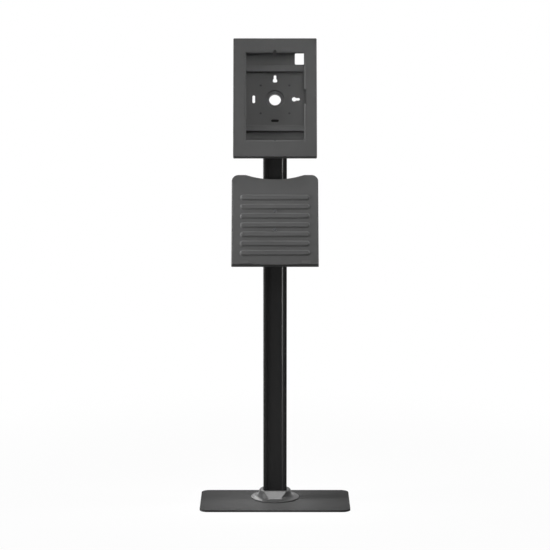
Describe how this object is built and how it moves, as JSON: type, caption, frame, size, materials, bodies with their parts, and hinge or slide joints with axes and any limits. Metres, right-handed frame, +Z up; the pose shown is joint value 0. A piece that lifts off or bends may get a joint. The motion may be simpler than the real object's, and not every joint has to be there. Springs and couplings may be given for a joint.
{
  "type": "tablet floor stand",
  "caption": "Floor stand: flat base, pole, sliding ribbed document tray and a lockable tablet frame that tilts, swivels and opens on hinges",
  "frame": {"origin": "middle of the whole outline at rest, on the floor", "axes": "+X to the viewer's right, +Y to the back, +Z up along the pole"},
  "size_m": [0.4014, 0.261, 1.2481],
  "materials": {
    "black_powder_coat": "fine satin powder coat on sheet steel",
    "base_coat": "satin powder coat on steel plate",
    "foot_coat": "powder-coated aluminium casting",
    "pole_anodised": "black anodised extrusion",
    "bracket_coat": "black powder coat on folded steel",
    "hub_metal": "black anodised turned part",
    "black_screw": "black oxide",
    "zinc": "zinc plated",
    "chrome_lock": "bright plated",
    "washer_polymer": "plain acetal",
    "black_rubber": "matt rubber",
    "knob_plastic": "matt black moulded plastic"
  },
  "bodies": {
    "stand": {"base_plate": "base_coat", "rubber_pads": "black_rubber", "foot_casting": "foot_coat", "pole_screws": "zinc", "pole": "pole_anodised", "pole_grommet": "black_rubber", "head_bracket": "bracket_coat", "head_screws": "black_screw", "head_grommet": "black_rubber"},
    "tilt_head": {"tilt_plate": "bracket_coat", "tilt_bolts": "black_screw", "tilt_nuts": "zinc", "tilt_washers": "washer_polymer"},
    "enclosure": {"rear_shell": "black_powder_coat", "shell_frame": "black_powder_coat", "upper_rail": "black_powder_coat", "lower_rail": "black_powder_coat", "rail_screws": "black_screw", "swivel_hub": "hub_metal", "hub_screws": "black_screw", "swivel_ring_nut": "hub_metal", "swivel_washers": "washer_polymer", "shell_hinge_leaves": "black_powder_coat", "hinge_pins": "zinc", "lock_body": "chrome_lock", "lock_nut": "zinc"},
    "cover": {"front_cover": "black_powder_coat", "cover_walls": "black_powder_coat", "cover_hinge_leaves": "black_powder_coat", "lock_catch": "zinc"},
    "lock": {"lock_plug": "chrome_lock", "lock_cam": "zinc", "cam_screw": "zinc"},
    "tray": {"document_tray": "black_powder_coat", "tray_screws": "black_screw", "tray_nuts": "zinc", "tray_bracket": "bracket_coat", "bracket_screws": "black_screw", "tray_collar": "hub_metal"},
    "clamp_foot": {"clamp_pad": "washer_polymer"},
    "clamp": {"clamp_knob": "knob_plastic", "clamp_stud": "zinc"}
  },
  "joints": [
    {"name": "head_tilt", "type": "hinge", "parent": "stand", "child": "tilt_head", "pos_m": [0, 0.03502, 1.0727], "axis": [-1, 0, 0], "range_deg": [-19, 26]},
    {"name": "screen_swivel", "type": "hinge", "parent": "tilt_head", "child": "enclosure", "pos_m": [0, 0.01182, 1.09042], "axis": [0, -0.9455, 0.3256], "range_deg": [-90, 90]},
    {"name": "cover_hinge", "type": "hinge", "parent": "enclosure", "child": "cover", "pos_m": [0.10495, 0.01494, 1.08934], "axis": [0, 0.3256, 0.9455], "range_deg": [0, 100]},
    {"name": "lock_turn", "type": "hinge", "parent": "enclosure", "child": "lock", "pos_m": [-0.09215, 0.00275, 1.09354], "axis": [-1, 0, 0], "range_deg": [0, 90]},
    {"name": "tray_slide", "type": "slide", "parent": "stand", "child": "tray", "axis": [0, 0, 1], "range_m": [-0.35, 0.02]},
    {"name": "pad_travel", "type": "slide", "parent": "tray", "child": "clamp_foot", "axis": [0, 1, 0], "range_m": [0, 0.00125]},
    {"name": "knob_turn", "type": "hinge", "parent": "clamp_foot", "child": "clamp", "pos_m": [0, 0.07852, 0.7868], "axis": [0, 1, 0], "range_deg": [0, 360]}
  ],
  "couplings": [
    {"joint": "pad_travel", "follows": "knob_turn", "m_per_rad": 0.00019894}
  ]
}
